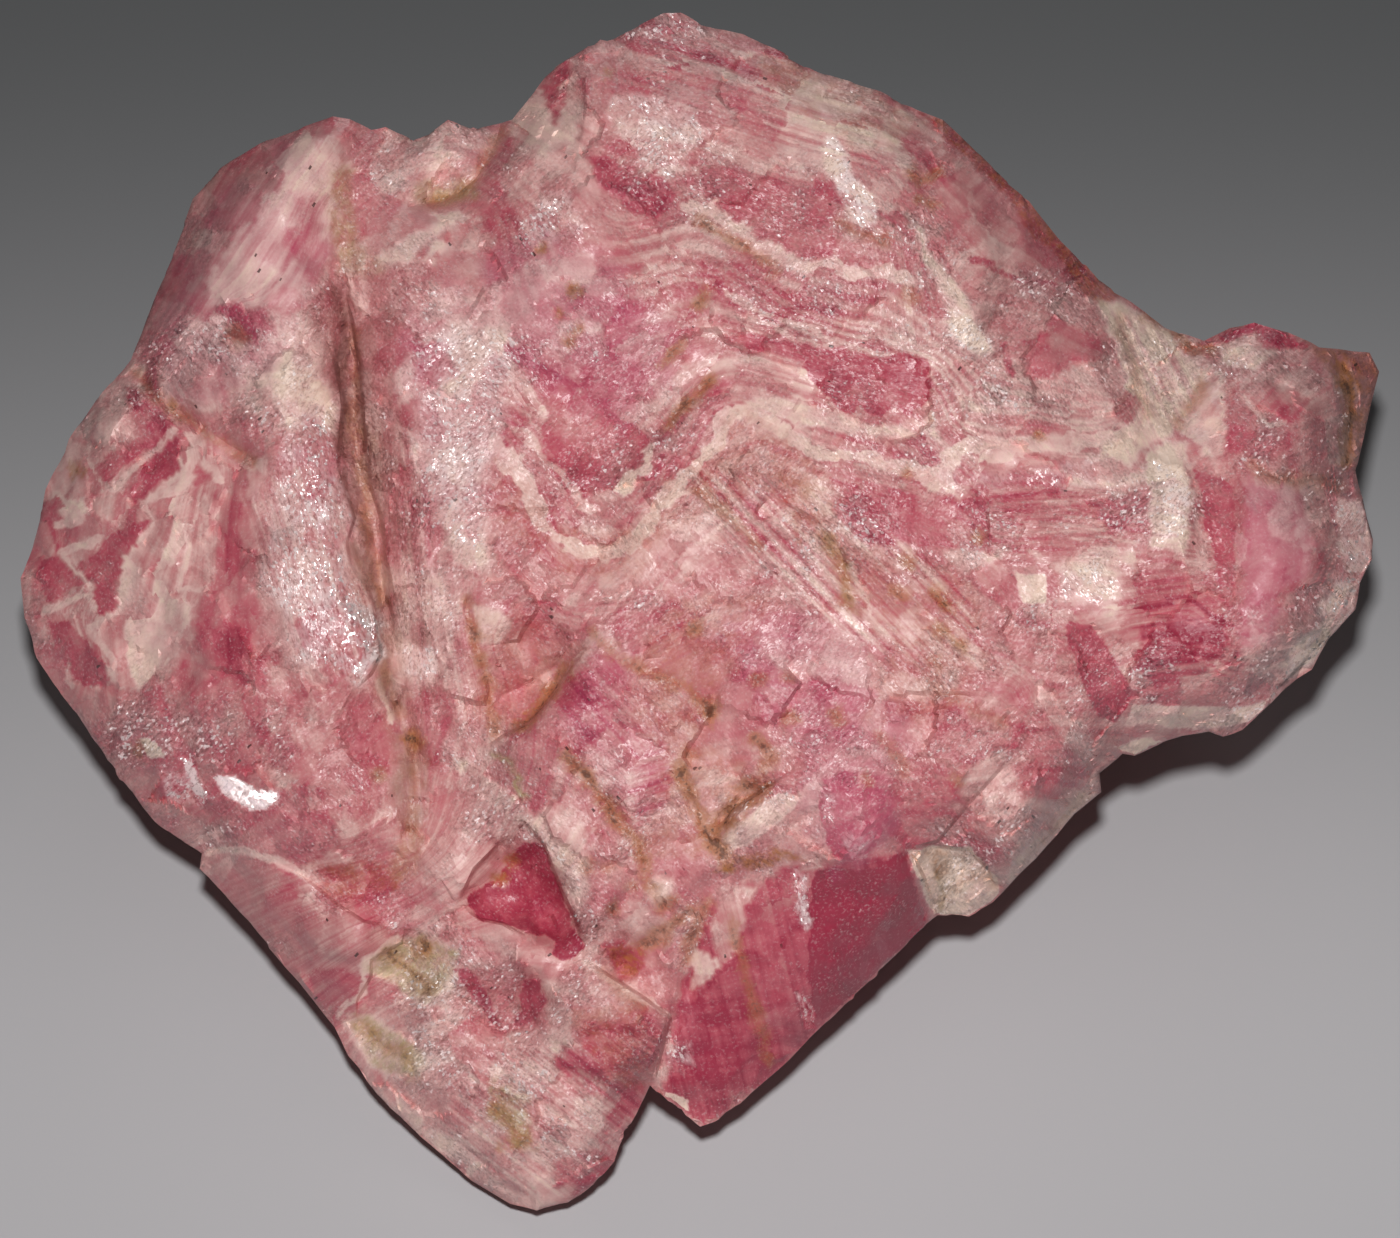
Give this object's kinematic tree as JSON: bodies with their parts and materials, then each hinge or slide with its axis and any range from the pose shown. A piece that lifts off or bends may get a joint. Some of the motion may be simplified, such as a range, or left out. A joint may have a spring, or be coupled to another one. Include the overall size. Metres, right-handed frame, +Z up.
{
  "type": "rhodochrosite specimen",
  "caption": "Rough cleaved chunk of banded pink rhodochrosite with a sloping broken face, ledges and cracks, resting on a flat underside.",
  "frame": {"origin": "middle of the bounding box, on the plane that the stone rests on", "axes": "+X along the stone's longest extent, to the right of someone looking at the broken face; +Y to the high rear crest; +Z up"},
  "size_m": [0.1166, 0.0976, 0.0528],
  "materials": {
    "banded_rhodochrosite": "rough cleaved, waxy to pearly on the cleavage faces, cream and rose bands with brown stained cracks"
  },
  "bodies": {
    "root": {"rhodochrosite_stone": "banded_rhodochrosite"}
  },
  "joints": []
}
